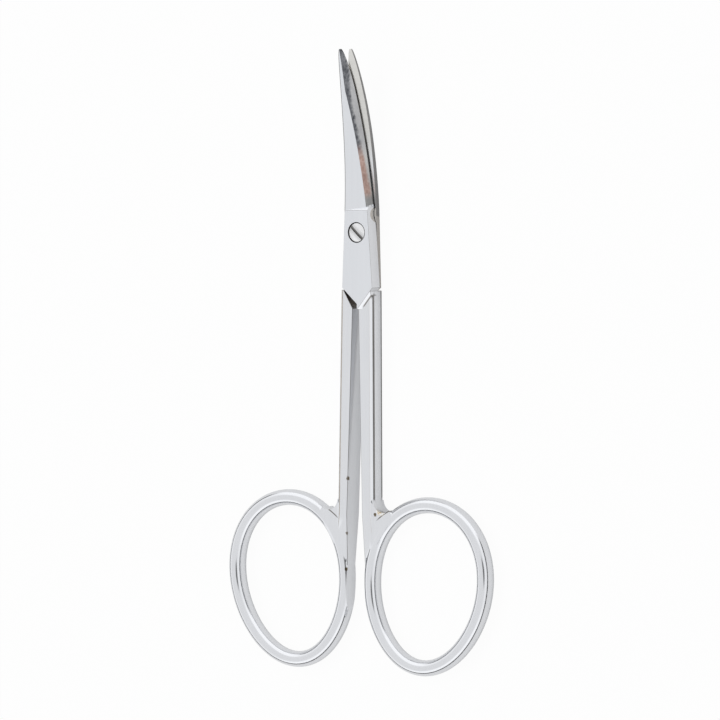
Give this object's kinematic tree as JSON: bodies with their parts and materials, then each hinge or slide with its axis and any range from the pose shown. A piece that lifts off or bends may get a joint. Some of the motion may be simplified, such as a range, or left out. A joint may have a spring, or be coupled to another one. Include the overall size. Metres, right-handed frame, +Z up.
{
  "type": "cuticle scissors",
  "caption": "Small plated steel scissors with slim blades that curve up, a slotted pivot screw, straight shanks and oval finger rings.",
  "frame": {"origin": "on the pivot axis, level with the outer face of the lower half's joint plate, which lies on the table", "axes": "+Y from the pivot towards the blade tips, +Z up from the table on the screw head's side, along the pivot axis; +X to the right"},
  "size_m": [0.0462, 0.0903, 0.007],
  "materials": {
    "plated_steel": "polished plating, ground satin on the joint plates and the blades' faces",
    "screw_steel": "polished plating"
  },
  "bodies": {
    "lower_half": {"back_half": "plated_steel", "pivot_screw": "screw_steel"},
    "upper_half": {"front_half": "plated_steel"}
  },
  "joints": [
    {"name": "pivot", "type": "hinge", "parent": "lower_half", "child": "upper_half", "pos_m": [0, 0, 0.002], "axis": [0, 0, 1], "range_deg": [-3.1, 86.9]}
  ]
}
